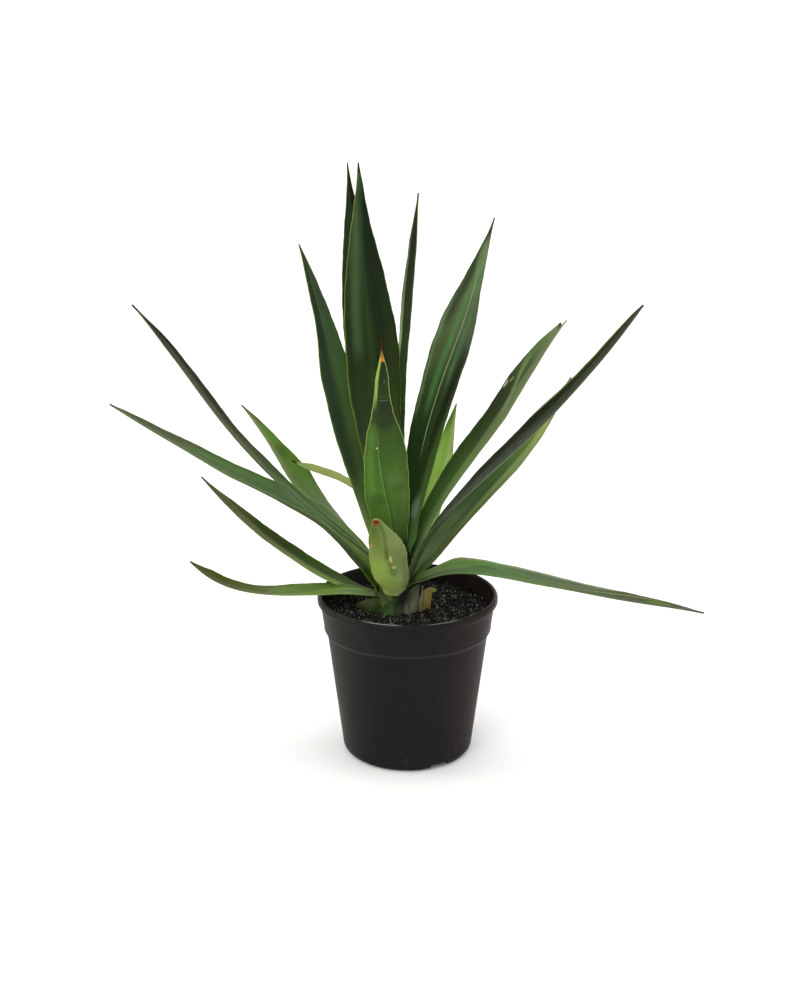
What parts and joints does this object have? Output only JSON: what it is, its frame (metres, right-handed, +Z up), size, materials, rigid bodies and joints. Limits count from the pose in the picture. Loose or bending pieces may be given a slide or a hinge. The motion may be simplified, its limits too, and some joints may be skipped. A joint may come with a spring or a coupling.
{
  "type": "potted yucca",
  "caption": "Young yucca with stiff sword leaves round a short stem, growing in a round charcoal nursery pot filled with dark soil.",
  "frame": {"origin": "centre of the underside of the pot's base, on the surface that the pot stands on", "axes": "+Z up the pot's axis, -Y to the front, where the short front leaf stands, +X to the right of that front, toward the long drooping leaf"},
  "size_m": [0.4743, 0.2475, 0.4831],
  "materials": {
    "pot_plastic": "satin, injection-moulded",
    "soil": "loose potting mix with perlite, matte",
    "stem": "smooth young stem, satin",
    "leaf_dark": "waxy dark green leaf",
    "leaf_mid": "waxy mid-green leaf",
    "leaf_pale": "waxy yellow-green young leaf",
    "dry_leaf": "dry papery leaf remnant"
  },
  "bodies": {
    "root": {"nursery_pot": "pot_plastic", "potting_soil": "soil", "stem": "stem", "leaf_far_left_high": "leaf_dark", "leaf_far_left_long": "leaf_mid", "leaf_left_low": "leaf_mid", "leaf_left_level": "leaf_mid", "leaf_left_pale": "leaf_mid", "leaf_back_arching": "leaf_pale", "leaf_tall_left": "leaf_dark", "leaf_tall_behind": "leaf_dark", "leaf_tall_centre": "leaf_dark", "leaf_slim_behind": "leaf_dark", "leaf_broad_right": "leaf_dark", "leaf_young_right": "leaf_pale", "leaf_split_tip": "leaf_dark", "leaf_long_right": "leaf_dark", "leaf_right_behind": "leaf_dark", "leaf_drooping_right": "leaf_mid", "leaf_front_upright": "leaf_mid", "leaf_front_short": "leaf_pale", "old_leaf_base": "leaf_mid", "dry_bract": "dry_leaf"}
  },
  "joints": []
}
